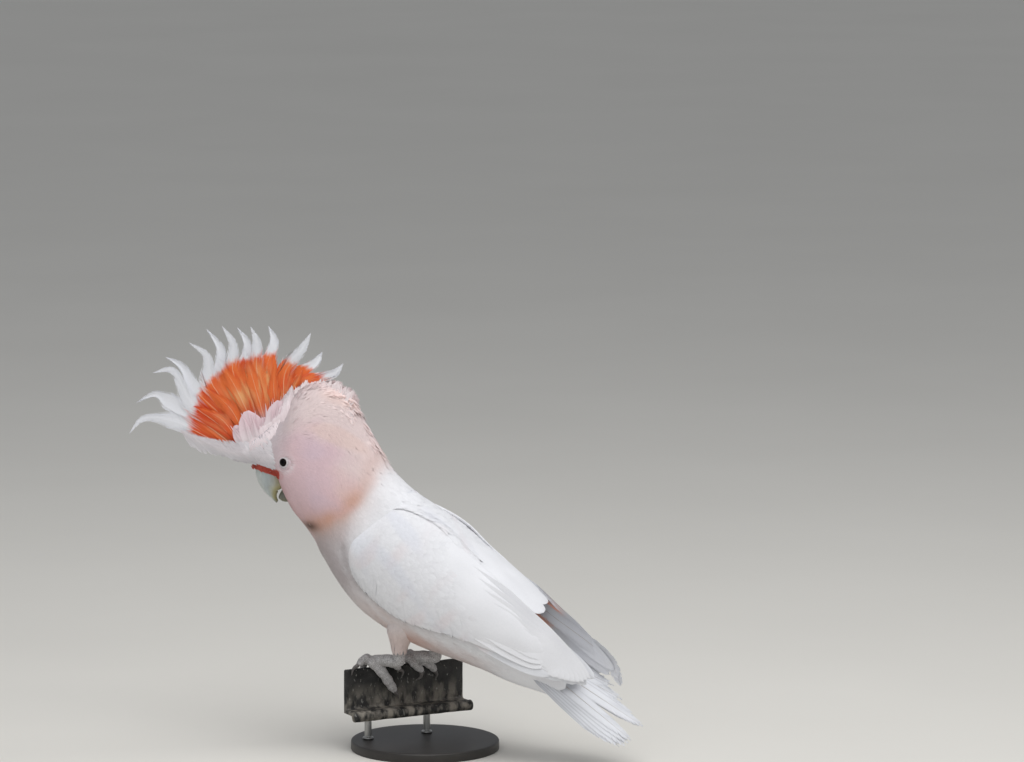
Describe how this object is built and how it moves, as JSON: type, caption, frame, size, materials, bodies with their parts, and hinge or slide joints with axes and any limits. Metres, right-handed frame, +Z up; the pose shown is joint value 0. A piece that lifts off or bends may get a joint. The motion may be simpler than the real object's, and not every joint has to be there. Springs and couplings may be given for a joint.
{
  "type": "cockatoo figure",
  "caption": "Life-size pink cockatoo model with raised crest, head turned and wings folded, gripping a short length of thin metal rim on a plain round display stand.",
  "frame": {"origin": "centre of the underside of the round display base, at floor level", "axes": "+Z up; +X towards the bird's tail end as seen from its left side, with the body's own line turned 25 degrees about +Z from it (tail towards -Y); -Y is the side of the bird's left wing"},
  "size_m": [0.4352, 0.1594, 0.3581],
  "materials": {
    "face_plumage": "soft matt plumage, greyish white on the crown, pink on the cheeks",
    "collar_plumage": "soft matt plumage, salmon orange round the front of the neck",
    "body_plumage": "soft matt plumage, white above and greyish pink below",
    "wing_feathers": "smooth matt white feather vanes",
    "tail_feathers": "smooth matt white feather vanes",
    "crest_feathers": "smooth feather vanes, orange red with yellow streaks and white tips",
    "bill_horn": "satin pale horn",
    "eyes": "wet gloss, near black",
    "foot_skin": "dry grey granular scales",
    "claws": "satin dark horn",
    "perch_metal": "weathered dark grey metal with pale crust",
    "stand_base_metal": "satin dark paint",
    "stand_rod_metal": "satin"
  },
  "bodies": {
    "root": {"head": "face_plumage", "neck": "collar_plumage", "trunk": "body_plumage", "wing_left": "wing_feathers", "wing_right": "wing_feathers", "tertials_right": "wing_feathers", "tail": "tail_feathers", "crest": "crest_feathers", "bill_upper": "bill_horn", "bill_lower": "bill_horn", "eye_left": "eyes", "eye_right": "eyes", "thigh_left": "body_plumage", "thigh_right": "body_plumage", "foot_left": "foot_skin", "foot_right": "foot_skin", "claw_left_outer_front": "claws", "claw_left_inner_front": "claws", "claw_left_outer_rear": "claws", "claw_left_inner_rear": "claws", "claw_right_outer_front": "claws", "claw_right_inner_front": "claws", "claw_right_outer_rear": "claws", "claw_right_inner_rear": "claws", "perch_rim": "perch_metal", "stand_base": "stand_base_metal", "stand_rod_front": "stand_rod_metal", "stand_rod_rear": "stand_rod_metal"}
  },
  "joints": []
}
